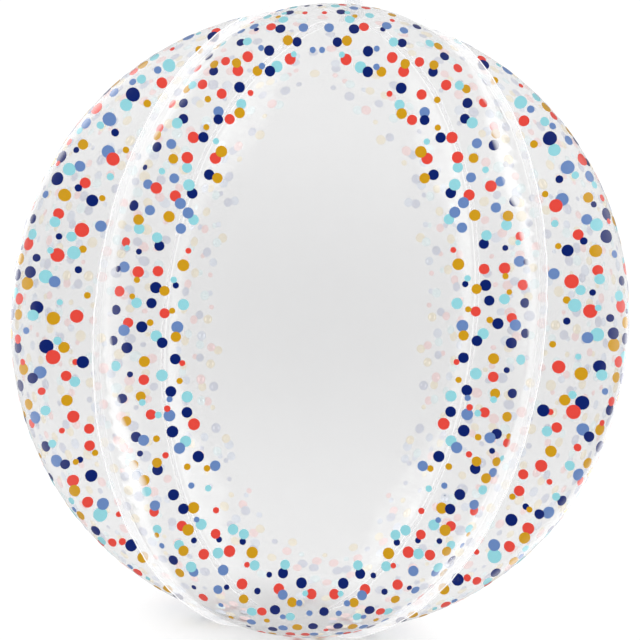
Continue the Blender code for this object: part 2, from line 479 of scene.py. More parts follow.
def half_panel(film):
    """Half of a smooth panel that faces +X, from its middle line to its cut edge."""
    radius, height = outline_rows(film)
    along = along_outline(radius, height)
    seam_radius = radius * film.seam_share
    width = flange_profile(film, radius, height, seam_radius)
    open_share = smoothstep(seam_radius / TIP_RADIUS)
    gap = HALF_GAP * open_share
    arc_end = HALF_PANEL - np.arcsin(gap / np.maximum(seam_radius, 1e-9))
    shares = column_shares(film)

    def lobe(angle):
        """Radius at this angle from the panel's middle, where 1 is the middle."""
        return 1 - (1 - film.seam_share) * (angle / HALF_PANEL) ** film.lobe_exponent

    angles = arc_end[:, None] * (1 - shares[None, ::-1])
    reach = radius[:, None] * lobe(angles)
    heights = np.repeat(height[:, None], len(shares), 1)
    arc = np.stack((reach * np.cos(angles), reach * np.sin(angles), heights), -1)

    slope_out = np.gradient(seam_radius, along)
    slope_up = np.gradient(height, along)
    slope = np.hypot(slope_out, slope_up)[:, None]
    out = (slope_up[:, None] * SEAM_OUTWARDS - slope_out[:, None] * UP) / slope
    foot_radius = np.sqrt(np.maximum((radius * lobe(arc_end)) ** 2 - gap**2, 0.0))
    foot = foot_radius[:, None] * SEAM_OUTWARDS - gap[:, None] * SEAM_ACROSS
    foot += height[:, None] * UP
    bend = np.minimum(BEND_HEIGHT * open_share, BEND_SHARE * width)
    flange_foot = foot + bend[:, None] * out
    edge = foot + width[:, None] * out
    columns = [arc]
    for share in BEND_SHARES:
        point = (1 - share) ** 2 * arc[:, -1] + 2 * share * (1 - share) * foot
        columns.append((point + share**2 * flange_foot)[:, None])
    for share in FLANGE_SHARES:
        columns.append((flange_foot + share * (edge - flange_foot))[:, None])
    points = np.concatenate(columns, axis=1)
    return HalfPanel(radius, along, points, width, out, len(shares))


def seam_at(index, side):
    """The seam at one side of a panel: side 1 is its own, and side -1 the panel before's."""
    return (index if side == 1 else index - 1) % len(PANELS)


def seam_puckers(film, seam, reach_along):
    """The puckers along one seam."""
    rng = np.random.default_rng(film.seed + seam)
    puckers = []
    place = -reach_along
    while place < reach_along:
        place += rng.uniform(*PUCKER_STEP)
        strength = GATHER_BASE + (1 - GATHER_BASE) * bell(place, *SEAM_GATHERS[seam])
        depth = film.pucker_depth * strength * rng.uniform(*PUCKER_DEPTH)
        reach = rng.uniform(*PUCKER_REACH) * (REACH_BASE + REACH_GROWTH * strength)
        half_width = rng.uniform(*PUCKER_HALF_WIDTH)
        puckers.append(Pucker(place, half_width, depth, reach, rng.uniform(*PUCKER_LEAN)))
    for fan, sign in FANS[seam]:
        for step in range(FAN_CREASES):
            place = sign * (fan + FAN_STEP * step + rng.uniform(*FAN_SHAKE))
            lean = -sign * rng.uniform(*FAN_LEAN)
            depth = film.pucker_depth * rng.uniform(*FAN_CREASE_DEPTH)
            puckers.append(Pucker(place, FAN_HALF_WIDTH, depth, rng.uniform(*FAN_REACH), lean))
    for _ in range(LONG_PUCKERS):
        place = rng.choice((-1, 1)) * rng.uniform(*LONG_PLACE)
        depth = rng.uniform(*LONG_DEPTH)
        half_width = rng.uniform(*LONG_HALF_WIDTH)
        reach = rng.uniform(*LONG_REACH)
        puckers.append(Pucker(place, half_width, depth, reach, rng.uniform(*LONG_LEAN)))
    return puckers


def pucker_field(puckers, rng, distance, along):
    """How far the puckers press the film in, at each distance from the seam's foot."""
    field = np.zeros_like(distance)
    for place, half_width, depth, reach, lean in puckers:
        depth *= rng.uniform(*SIDE_DEPTH)
        reach *= rng.uniform(*SIDE_REACH)
        rows = np.nonzero(np.abs(along - place) < half_width + abs(lean) * reach)[0]
        away = distance[rows]
        offset = np.abs(along[rows, None] - place - lean * away)
        ridge = np.clip(1 - offset / (half_width * (1 + away / reach)), 0.0, 1.0) ** RIDGE_POWER
        rise = smoothstep(away / PUCKER_RISE)
        fall = np.clip(1 - away / reach, 0.0, 1.0) ** FALL_POWER
        field[rows] = np.maximum(field[rows], depth * ridge * rise * fall)
    return field


def painted_highlight_strip(film, index, side, distance, along):
    """Painted highlight: whiteness of a strip beside a seam, with teeth that point at the seam."""
    if index % 2:
        return np.zeros_like(distance)
    rng = np.random.default_rng(film.seed * 1000 + index * 2 + (side == 1))
    rise = along * TOOTHED[seam_at(index, side)]
    places = np.cumsum(rng.uniform(*TOOTH_STEP, TOOTH_POINTS)) - TOOTH_REACH
    peaks = (np.arange(TOOTH_POINTS) % 2) * rng.uniform(*TOOTH_LENGTH, TOOTH_POINTS)
    jag = np.interp(along, places, peaks) ** TOOTH_POWER
    calm = bell(rise, TOOTH_CENTRE, TOOTH_SPREAD)
    line = STRIP_START + STRIP_SHIFT * bell(rise, SHIFT_CENTRE, SHIFT_SPREAD)
    fan = np.zeros_like(along)
    if PANELS[index] == "back":
        line = np.full_like(along, BACK_START)
        fan = bell(np.abs(along), FAN_HEIGHT, FAN_SPREAD)
    start = line - (line - TOOTH_TIP) * (TOOTH_CALM + (1 - TOOTH_CALM) * calm) * jag
    end = line + STRIP_WIDTH + fan * FAN_WIDTH + wave(rng, along, *STRIP_WAVES)
    inner = smoothstep((distance - start[:, None]) / STRIP_EDGE)
    outer = 1 - smoothstep((distance - end[:, None] + STRIP_BLUR / 2) / STRIP_BLUR)
    between = (fan * (1 - jag))[:, None] * smoothstep((distance - FAN_START) / FAN_BLUR)
    fade = 1 - smoothstep((np.abs(along) - STRIP_END) / STRIP_FADE)
    strength = (STRIP_CALM + (1 - STRIP_CALM) * calm) * fade
    return STRIP_AMOUNT * strength[:, None] * inner * (1 - FAN_DEPTH * between) * outer


def surface_normals(points):
    """Outward unit normals of a grid whose columns run across and whose rows run up."""
    normal = np.cross(np.gradient(points, axis=1), np.gradient(points, axis=0))
    length = np.linalg.norm(normal, axis=2, keepdims=True)
    return normal / np.maximum(length, 1e-12)


def puckered_side(film, half, distance, index, side):
    """One half of a panel with its puckers and its wavy flange, and how white it is painted, as painted
    light.
    """
    seam = seam_at(index, side)
    along = half.along
    count = half.film_columns
    puckers = seam_puckers(film, seam, along.max() - SEAM_END)
    rng = np.random.default_rng(film.seed * 10 + index * 2 + (side == 1))
    field = pucker_field(puckers, rng, distance, along)
    field[:, count:] = 0.0
    depth = SIDE_CALM if index % 2 else 1.0
    field *= smoothstep((half.radius - POLE_CALM) / POLE_FADE)[:, None] * depth
    points = half.points - surface_normals(half.points) * field[:, :, None]

    # Painted light: a whiter strip, whiter puckers and whiter flanges
    strip = painted_highlight_strip(film, index, side, distance, along)
    flange = np.full((len(along), 1), BACK_FLANGE_PAINTED_LIGHT)
    if seam not in BACK_SEAMS:
        calm = bell(along * TOOTHED[seam], TOOTH_CENTRE, TOOTH_SPREAD)
        flange = (FLANGE_PAINTED_LIGHT - WELD_FALL * calm)[:, None]
    strip_and_pucker_highlight = strip + CREASE_AMOUNT * field / film.pucker_depth
    white = np.where(distance > 0, strip_and_pucker_highlight, flange)

    rng = np.random.default_rng(film.seed * 100 + seam)
    flange_share = smoothstep(half.width / film.flange_width)
    ripple = wave(rng, along, *RIPPLES) * flange_share
    trim = wave(rng, along, *TRIM) * flange_share
    film_weights = 1 - smoothstep(distance[len(along) // 2, :count] / FILM_WEIGHT_REACH)
    weights = np.concatenate((FILM_WEIGHT * film_weights, FLANGE_WEIGHTS))
    points += side * ripple[:, None, None] * weights[None, :, None] * SEAM_ACROSS
    points[:, -1] += trim[:, None] * half.out
    points[:, :, 1] *= side
    return points, white


def joined_halves(first, second):
    """A whole panel's grid from its half on side 1 and its half on side -1."""
    return np.concatenate((second[:, :0:-1], first), axis=1)


def panel_forms(film):
    """The four panels' films as grids of points."""
    half = half_panel(film)
    count = half.film_columns
    distance = np.zeros(half.points.shape[:2])
    from_middle = lengths_across(half.points[:, :count])
    distance[:, :count] = from_middle[:, -1:] - from_middle + FIRST_COLUMN
    middle = half.points.shape[1] - 1
    forms = []
    for index in range(len(PANELS)):
        right, right_white = puckered_side(film, half, distance, index, 1)
        left, left_white = puckered_side(film, half, distance, index, -1)
        turn = np.array(Matrix.Rotation(-math.pi / 2 + index * 2 * HALF_PANEL, 3, "Z")).T
        points = joined_halves(right, left) @ turn
        smooth = joined_halves(half.points, half.points * (1, -1, 1)) @ turn
        white = joined_halves(right_white, left_white)
        forms.append(PanelForm(points, smooth, half.along, middle, count, half.width, white))
    return forms


# ---------------- mesh helpers


def start_fresh():
    """Leaves nothing selected, so that an operator acts on the new piece alone."""
    bpy.ops.object.select_all(action="DESELECT")


def new_piece(name, data):
    """A new object, which alone is selected."""
    start_fresh()
    piece = bpy.data.objects.new(name, data)
    bpy.context.scene.collection.objects.link(piece)
    piece.select_set(True)
    bpy.context.view_layer.objects.active = piece
    return piece


def finish_piece(piece, name, slot, materials, *nodes):
    """Names a piece, gives it its finish and ties it to the frame."""
    piece.name = name
    piece.data.name = name
    piece.data.materials.clear()
    for material in materials:
        piece.data.materials.append(material)
    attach(piece, "root")
    if nodes:
        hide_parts(*nodes)


def apply_solidify(piece, thickness):
    """Gives a sheet its thickness, inwards from its face."""
    modifier = piece.modifiers.new("solidify", "SOLIDIFY")
    modifier.thickness = thickness
    modifier.offset = -1.0
    bpy.context.view_layer.objects.active = piece
    bpy.ops.object.modifier_apply(modifier=modifier.name)


def edit_all(operator, **values):
    """Runs an operator of edit mode on all of the active piece."""
    bpy.ops.object.mode_set(mode="EDIT")
    bpy.ops.mesh.select_all(action="SELECT")
    operator(**values)
    bpy.ops.object.mode_set(mode="OBJECT")


def face_outwards():
    """Turns the active piece's faces outwards."""
    edit_all(bpy.ops.mesh.normals_make_consistent, inside=False)


def mark_points(mesh, name, values):
    """Stores a number for each point of a mesh."""
    mark = mesh.attributes.new(name, "FLOAT", "POINT")
    mark.data.foreach_set("value", np.asarray(values, np.float32))


def grid_piece(points, **marks):
    """A grid primitive moved onto rows by columns of points, with a point attribute for each mark."""
    rows, columns = points.shape[:2]
    start_fresh()
    bpy.ops.mesh.primitive_grid_add(x_subdivisions=columns - 1, y_subdivisions=rows - 1, size=2)
    piece = bpy.context.object
    mesh = piece.data
    count = len(mesh.vertices)
    if count != rows * columns:
        raise RuntimeError(f"the grid has {count} points and not {rows * columns}")
    flat = np.empty(count * 3, np.float32)
    mesh.vertices.foreach_get("co", flat)
    place = flat.reshape(-1, 3)
    column = np.rint((place[:, 0] + 1) / 2 * (columns - 1)).astype(int)
    row = np.rint((place[:, 1] + 1) / 2 * (rows - 1)).astype(int)
    mesh.vertices.foreach_set("co", points[row, column].astype(np.float32).ravel())
    mesh.update()
    for name, values in marks.items():
        mark_points(mesh, name, values[row, column])
    edit_all(bpy.ops.mesh.remove_doubles, threshold=MERGE_GRID)
    return piece


# ---------------- materials


def put(tree, socket, value):
    """Links an input socket to an output socket, or sets it to a value."""
    if isinstance(value, bpy.types.NodeSocket):
        tree.links.new(value, socket)
    else:
        socket.default_value = value


def fill(tree, node, **values):
    """Puts values into a node's inputs; a name's underscores stand for spaces."""
    for name, value in values.items():
        put(tree, node.inputs[name.replace("_", " ")], value)
    return node


def new_material(name, **values):
    """A new material, its node tree and its shader, which takes the values."""
    material = bpy.data.materials.new(name)
    material.use_nodes = True
    tree = material.node_tree
    return material, tree, fill(tree, tree.nodes["Principled BSDF"], **values)


def math_node(tree, operation, first, second=0.0, third=0.0):
    """A Math node; each value is a number or an output socket."""
    node = tree.nodes.new("ShaderNodeMath")
    node.operation = operation
    for socket, value in zip(node.inputs, (first, second, third)):
        put(tree, socket, value)
    return node.outputs[0]


def mixed_colour(tree, amount, first, second):
    """Two colours mixed by an amount of the second."""
    node = tree.nodes.new("ShaderNodeMix")
    node.data_type = "RGBA"
    return fill(tree, node, Factor=amount, A=first, B=second).outputs["Result"]


def moved_range(tree, value, source=(0.0, 1.0), target=(0.0, 1.0), kind="LINEAR"):
    """A value moved from one range to another."""
    node = tree.nodes.new("ShaderNodeMapRange")
    node.interpolation_type = kind
    fill(tree, node, Value=value, From_Min=source[0], From_Max=source[1])
    return fill(tree, node, To_Min=target[0], To_Max=target[1]).outputs["Result"]


def point_mark(tree, name):
    """The number that the film or the print stores for each of its points."""
    node = tree.nodes.new("ShaderNodeAttribute")
    node.attribute_name = name
    return node.outputs["Fac"]


def film_surface_group():
    """Node group for the film and the ink: a faint cloudy haze and fine wrinkles."""
    name = "film_surface"
    if name in bpy.data.node_groups:
        return bpy.data.node_groups[name]
    group = bpy.data.node_groups.new(name, "ShaderNodeTree")
    for label, default in (("Haze Scale", 12.0), ("Wrinkle Scale", 60.0), ("Wrinkle Depth", 0.00005)):
        socket = group.interface.new_socket(label, in_out="INPUT", socket_type="NodeSocketFloat")
        socket.default_value = default
    group.interface.new_socket("Haze", in_out="OUTPUT", socket_type="NodeSocketFloat")
    group.interface.new_socket("Normal", in_out="OUTPUT", socket_type="NodeSocketVector")
    nodes = group.nodes
    given = nodes.new("NodeGroupInput").outputs
    place = nodes.new("ShaderNodeTexCoord").outputs["Object"]
    haze = nodes.new("ShaderNodeTexNoise")
    fill(group, haze, Vector=place, Scale=given["Haze Scale"], Detail=3.0)
    wrinkle = nodes.new("ShaderNodeTexNoise")
    fill(group, wrinkle, Vector=place, Scale=given["Wrinkle Scale"], Detail=2.0, Distortion=0.8)
    bump = nodes.new("ShaderNodeBump")
    fill(group, bump, Height=wrinkle.outputs["Fac"], Distance=given["Wrinkle Depth"])
    results = nodes.new("NodeGroupOutput")
    fill(group, results, Haze=haze.outputs["Fac"], Normal=bump.outputs["Normal"])
    return group


def surface_detail(tree, shader, surface, roughness):
    """Gives a shader a surface's wrinkles; returns the haze and the varying roughness."""
    detail = tree.nodes.new("ShaderNodeGroup")
    detail.node_tree = film_surface_group()
    scale, depth = surface
    fill(tree, detail, Haze_Scale=scale, Wrinkle_Depth=depth)
    fill(tree, shader, Normal=detail.outputs["Normal"])
    haze = detail.outputs["Haze"]
    return haze, moved_range(tree, haze, target=[roughness * share for share in ROUGHNESS_RANGE])


def film_material(name, film, gloss, glow):
    """Clear film with a faint haze, whiter and glowing where its painted light mark is high, and duller
    where it is welded.
    """
    material, tree, shader = new_material(
        name, Alpha=film.opacity, IOR=FILM_IOR, Emission_Strength=glow
    )
    haze, rough = surface_detail(tree, shader, FILM_SURFACE, FILM_ROUGHNESS)
    gather = point_mark(tree, "gather")
    weld = point_mark(tree, "weld")
    cloud = math_node(tree, "MULTIPLY_ADD", haze, HAZE_AMOUNT, -HAZE_AMOUNT / 2)
    haze_and_painted_light = math_node(tree, "ADD", gather, cloud)
    colour = mixed_colour(tree, haze_and_painted_light, (*film.tint, 1.0), (*film.edge_tint, 1.0))
    # Painted light: the painted whiteness mark whitens the colour and drives the glow
    fill(
        tree, shader,
        Base_Color=mixed_colour(tree, weld, colour, WELD_COLOUR),
        Emission_Color=moved_range(tree, gather, source=(GLOW_START, 1.0)),
        Roughness=math_node(tree, "MULTIPLY_ADD", weld, WELD_ROUGHNESS, rough),
        Specular_IOR_Level=moved_range(tree, weld, target=(gloss, WELD_GLOSS)),
    )
    return material


def plain_film_material(name, surface, colour, opacity, roughness, gloss, glow):
    """Film of one colour all over, for the cut edges and the neck, with a painted glow."""
    material, tree, shader = new_material(
        name, Base_Color=colour, Alpha=opacity, IOR=FILM_IOR, Specular_IOR_Level=gloss,
        Emission_Color=WHITE, Emission_Strength=glow,
    )
    _, rough = surface_detail(tree, shader, surface, roughness)
    fill(tree, shader, Roughness=rough)
    return material


def ink_material(name, colour, roughness, glow):
    """Printed ink with a faint mottle and a painted highlight: its colour turns white where the film
    under it is painted white.
    """
    material, tree, shader = new_material(
        name, IOR=INK_IOR, Specular_IOR_Level=INK_GLOSS,
        Emission_Color=(*colour, 1.0), Emission_Strength=glow,
    )
    haze, rough = surface_detail(tree, shader, INK_SURFACE, roughness)
    darker, lighter = (
        (*(min(1.0, value * share) for value in colour), 1.0) for share in MOTTLE_RANGE
    )
    mottle = mixed_colour(tree, haze, darker, lighter)
    gather = point_mark(tree, "gather")
    fade = moved_range(tree, gather, source=DOT_HIGHLIGHT_RANGE, target=(0.0, DOT_HIGHLIGHT_AMOUNT))
    fill(tree, shader, Roughness=rough, Base_Color=mixed_colour(tree, fade, mottle, DOT_HIGHLIGHT_COLOUR))
    return material


# ---------------- the film panels


class BALLOON_OT_film_panels(bpy.types.Operator):
    """Build the four film panels with their seam flanges and puckers"""

    bl_idname = "balloon.film_panels"
    bl_label = "Film Panels"

    def execute(self, context):
        film = context.scene.balloon_film
        clear = film_material("clear_film", film, FILM_GLOSS, FILM_PAINTED_GLOW)
        side_clear = film_material("side_film", film, SIDE_GLOSS, 0.0)
        for index, form in enumerate(panel_forms(film)):
            column = np.arange(form.points.shape[1]) - form.middle
            seam = np.where(column > 0, seam_at(index, 1), seam_at(index, -1))
            dull = np.where(np.isin(seam, BACK_SEAMS), BACK_DULL, 0)
            inside = form.film_columns - 1 - dull
            weld = smoothstep((np.abs(column) - inside) / (len(BEND_SHARES) + dull))
            across = lengths_across(form.smooth)
            across = np.abs(across - across[:, form.middle:form.middle + 1])
            # Painted light: the film is painted whiter away from the panel's middle and the widest row,
            # and the strip, puckers and flanges add to it
            away = np.hypot(across / PAINTED_LIGHT_ACROSS, form.along[:, None] / PAINTED_LIGHT_ALONG)
            gather = np.minimum(PAINTED_LIGHT_AMOUNT * smoothstep(away) + form.white, 1.0)
            weld = np.broadcast_to(weld, gather.shape)
            panel = grid_piece(form.points, weld=weld, gather=gather)
            apply_solidify(panel, film.thickness)
            bpy.ops.object.shade_smooth_by_angle(angle=SMOOTH_ANGLE)
            name = PANELS[index]
            material = side_clear if index % 2 else clear
            finish_piece(panel, f"{name}_film", "clear_film", [material], f"{name}_panel")
        return {"FINISHED"}


class BALLOON_OT_seam_edges(bpy.types.Operator):
    """Build the fine beads that heat cutting leaves on the seams' edges"""

    bl_idname = "balloon.seam_edges"
    bl_label = "Seam Edges"

    def execute(self, context):
        film = context.scene.balloon_film
        forms = panel_forms(film)
        share = forms[0].width / film.flange_width
        kept = share > EDGE_START
        size = smoothstep((share[kept] - EDGE_START) / EDGE_START)
        finish = (EDGE_SURFACE, EDGE_COLOUR, EDGE_OPACITY, EDGE_ROUGHNESS, EDGE_GLOSS)
        # Painted light: the beads glow, the back seams' more brightly
        material = plain_film_material("cut_edge", *finish, EDGE_PAINTED_GLOW)
        brighter_back_material = plain_film_material("back_cut_edge", *finish, BACK_EDGE_PAINTED_GLOW)
        for index, form in enumerate(forms):
            after = forms[(index + 1) % len(PANELS)]
            line = ((form.points[:, -1] + after.points[:, 0]) / 2)[kept]
            curve = bpy.data.curves.new("seam_edge", "CURVE")
            curve.dimensions = "3D"
            curve.bevel_depth = EDGE_RADIUS
            curve.bevel_resolution = 1
            curve.use_fill_caps = True
            spline = curve.splines.new("POLY")
            spline.points.add(len(line) - 1)
            for point, place, fullness in zip(spline.points, line, size):
                point.co = (*place, 1.0)
                point.radius = EDGE_START + (1 - EDGE_START) * fullness
            bead = new_piece("seam_edge", curve)
            bpy.ops.object.convert(target="MESH")
            edit_all(bpy.ops.mesh.remove_doubles, threshold=MERGE_BEAD)
            face_outwards()
            bpy.ops.object.shade_smooth()
            white = brighter_back_material if index in BACK_SEAMS else material
            finish_piece(bead, f"seam_edge_{index + 1}", "clear_film", [white])
        return {"FINISHED"}


# ---------------- places on a panel


def panel_map(form):
    """A smooth panel without its flanges, to find places on it."""
    kept = slice(form.middle - form.film_columns + 1, form.middle + form.film_columns)
    smooth = form.smooth[:, kept]
    across = lengths_across(smooth)
    across -= across[:, form.film_columns - 1:form.film_columns]
    return PanelMap(smooth, surface_normals(smooth), form.along, across, form.white[:, kept])


def panel_spot(panel, across, along):
    """Row and column of the panel's grid at a place."""
    row = np.interp(along, panel.along, np.arange(len(panel.along)))
    column = np.interp(across, panel.across[int(row)], np.arange(panel.across.shape[1]))
    return row, column


def grid_value(grid, row, column):
    """A value between the rows and columns of a grid."""
    row_0 = int(min(row, grid.shape[0] - 2))
    column_0 = int(min(column, grid.shape[1] - 2))
    up = row - row_0
    over = column - column_0
    lower = grid[row_0, column_0] * (1 - over) + grid[row_0, column_0 + 1] * over
    upper = grid[row_0 + 1, column_0] * (1 - over) + grid[row_0 + 1, column_0 + 1] * over
    return lower * (1 - up) + upper * up


def panel_place(panel, across, along):
    """A place's point and normal, and the directions across and along there."""
    row, column = panel_spot(panel, across, along)
    place = Vector(grid_value(panel.smooth, row, column))
    normal = Vector(grid_value(panel.normals, row, column)).normalized()
    ahead = Vector(grid_value(panel.smooth, row, min(column + 0.5, panel.smooth.shape[1] - 1.0)))
    right = ahead - Vector(grid_value(panel.smooth, row, max(column - 0.5, 0.0)))
    right = (right - normal * right.dot(normal)).normalized()
    return place, normal, right, normal.cross(right)


# ---------------- the confetti print


def drawn_out(print_, middle, place, normal):
    """Direction and share by which the artwork is drawn out here, to look even from its viewpoint."""
    eye = Vector((0.0, math.copysign(print_.eye_distance, place.y), middle))
    sight = (eye - place).normalized()
    facing = normal.dot(sight)
    lean = sight - normal * facing
    longest = print_.longest if place.y < 0 else print_.back_longest
    share = 1 / max(facing, 1 / longest)
    hidden = min(1.0, max(0.0, -facing / HIDDEN_FACING))
    share += (print_.back_longest - share) * hidden
    return lean.normalized(), share


def apart(here, there, lean, share):
    """Distances from one place to others, as they look in the artwork before it is drawn out."""
    gaps = np.asarray(there) - np.asarray(here)
    leaning = gaps @ np.asarray(lean)
    return np.sqrt(np.sum(gaps**2, axis=1) - leaning**2 * (1 - 1 / share**2))


def outside_window(window, across, along):
    """Distance outside the window's edge, as a share of its size."""
    if window is None:
        return 1.0
    shares = (across / window[0]) ** WINDOW_SHAPE + abs(along / window[1]) ** WINDOW_SHAPE
    return shares ** (1 / WINDOW_SHAPE) - 1


def layout_dots(print_, panel, middle, layout):
    """Dots on one half of a panel, or on all of it where the layout has no window."""
    rng = np.random.default_rng(layout.seed)
    dots = []
    laid = np.zeros((0, 6))  # x, y, z, radius, ink and layer of each dot so far

    def picked_radius(small):
        """A seeded radius for a small or a large dot."""
        average = print_.small_radius if small else print_.large_radius
        return average * layout.size * rng.uniform(1 - layout.variety, 1 + layout.variety)

    def room(across, along, radius):
        """Where a dot goes and how it is drawn out, or None too near an edge or the mirror line."""
        half_arc = np.interp(along, panel.along, panel.across[:, -1])
        if abs(across) > half_arc - layout.margin * min(1.0, half_arc / FULL_ARC):
            return None
        place, normal, right, _ = panel_place(panel, across, along)
        lean, share = drawn_out(print_, middle, place, normal)
        if layout.window is None:
            return across, place, lean, share
        turned = lean.dot(right)
        half_width = radius * math.hypot(share * turned, math.sqrt(max(0.0, 1 - turned**2)))
        if across < MIRROR_SNAP * half_width:
            return 0.0, place, lean, share
        if across < half_width + MIRROR_GAP:
            return None
        return across, place, lean, share

    for _ in range(DOT_TRIES):
        along = rng.uniform(panel.along[0] + POLE_ROOM, panel.along[-1] - POLE_ROOM)
        across = rng.uniform(0.0 if layout.window else -WIDEST_ACROSS, WIDEST_ACROSS)
        outside = outside_window(layout.window, across, along)
        loose = outside < LOOSE_EDGE
        if outside < 0 or (loose and rng.random() < LOOSE_SKIPS):
            continue
        small = rng.random() < (LOOSE_SMALL if loose else SMALL_CHANCE)
        radius = picked_radius(small)
        found = room(across, along, radius)
        if found is None:
            continue
        across, place, lean, share = found
        gaps = apart(place, laid[:, :3], lean, share)
        radii, inks, layers = laid[:, 3:].T
        spacing = layout.spacing * (LOOSE_SPACING if loose else 1.0)
        if np.any(gaps[layers == 0] < spacing) or np.any(gaps < radii + radius + DOT_GAP):
            continue
        near = inks[gaps < layout.spacing * NEAR_SHARE + radii]
        chances = np.where(np.isin(range(len(INKS)), near), SAME_INK, 1.0) * INK_SHARES
        ink = rng.choice(len(INKS), p=chances / chances.sum())
        dots.append(Dot(across, along, radius, small, ink, 0))
        laid = np.vstack((laid, (*place, radius, ink, 0)))
        if across == 0.0 or small and rng.random() < SMALL_ALONE or rng.random() < ANY_ALONE:
            continue
        mate_small = rng.random() < MATE_SMALL
        mate_radius = picked_radius(mate_small)
        turn = rng.uniform(0, 2 * math.pi)
        _, _, right, above = panel_place(panel, across, along)
        leaning = (right * math.cos(turn) + above * math.sin(turn)).dot(lean)
        narrowing = math.sqrt(1 - leaning**2 * (1 - 1 / share**2))
        gap = (radius + mate_radius) * rng.uniform(*MATE_GAP) / narrowing
        mate_along = along + gap * math.sin(turn)
        found = room(across + gap * math.cos(turn), mate_along, mate_radius)
        if found is None or layout.window and found[0] == 0.0:
            continue
        mate_across, place, lean, share = found
        gaps = apart(place, laid[:-1, :3], lean, share)
        if np.any(gaps < radii + mate_radius + DOT_GAP):
            continue
        mate_ink = (ink + rng.integers(1, len(INKS))) % len(INKS)
        dots.append(Dot(mate_across, mate_along, mate_radius, mate_small, mate_ink, 1))
        laid = np.vstack((laid, (*place, mate_radius, mate_ink, 1)))
    return dots


def dot_template(sides, ring):
    """A thin round dot of radius 1 between heights 0 and 1, modelled once, with an inner ring or not."""
    start_fresh()
    bpy.ops.mesh.primitive_circle_add(
        vertices=sides, radius=1.0, fill_type="NGON", location=(0, 0, 1)
    )
    dot = bpy.context.object
    bpy.ops.object.transform_apply(location=True)
    bpy.ops.object.mode_set(mode="EDIT")
    bpy.ops.mesh.select_all(action="SELECT")
    if ring:
        bpy.ops.mesh.inset(thickness=RING_INSET)
    bpy.ops.mesh.poke()
    bpy.ops.mesh.select_all(action="DESELECT")
    bpy.ops.mesh.select_mode(type="EDGE")
    bpy.ops.mesh.select_non_manifold()
    bpy.ops.mesh.extrude_region_move(TRANSFORM_OT_translate={"value": (0, 0, -1)})
    bpy.ops.mesh.edge_face_add()
    bpy.ops.mesh.select_mode(type="FACE")
    bpy.ops.mesh.poke()
    bpy.ops.object.mode_set(mode="OBJECT")
    face_outwards()
    places = [tuple(vertex.co) for vertex in dot.data.vertices]
    faces = [tuple(face.vertices) for face in dot.data.polygons]
    under = [all(places[corner][2] < 0.5 for corner in face) for face in faces]
    bpy.data.objects.remove(dot, do_unlink=True)
    return places, faces, under


def panel_dots(print_, panel, middle, dots, artwork, templates, tree):
    """The dots of one panel laid onto its film, as an ink, a template, points and their whiteness."""
    turn, sides = artwork
    laid = []
    for dot in dots:
        for side in sides:
            if side == -1 and dot.across == 0.0 and len(sides) == 2:
                continue
            across = side * dot.across * math.cos(turn) - dot.along * math.sin(turn)
            along = side * dot.across * math.sin(turn) + dot.along * math.cos(turn)
            row, _ = panel_spot(panel, across, along)
            if abs(across) + dot.radius > panel.across[int(row)][-1] - SEAM_ROOM:
                continue
            place, normal, right, above = panel_place(panel, across, along)
            lean, share = drawn_out(print_, middle, place, normal)
            beside = normal.cross(lean)
            points = []
            whites = []
            for x, y, z in templates[dot.small][0]:
                offset = lean * (x * dot.radius * share) + beside * (y * dot.radius)
                start = place + offset + normal * RAY_START
                hit, _, _, _ = tree.ray_cast(start, -normal, RAY_LENGTH)
                if hit is None:
                    hit = place + offset
                lift = LIFT + LAYER * dot.layer + z * INK_THICKNESS
                points.append(hit + normal * lift)
                # The film's painted whiteness under each point, which paints the dot's highlight
                spot = panel_spot(panel, across + offset.dot(right), along + offset.dot(above))
                whites.append(float(grid_value(panel.white, *spot)))
            laid.append((dot.ink, dot.small, points, whites))
    return laid


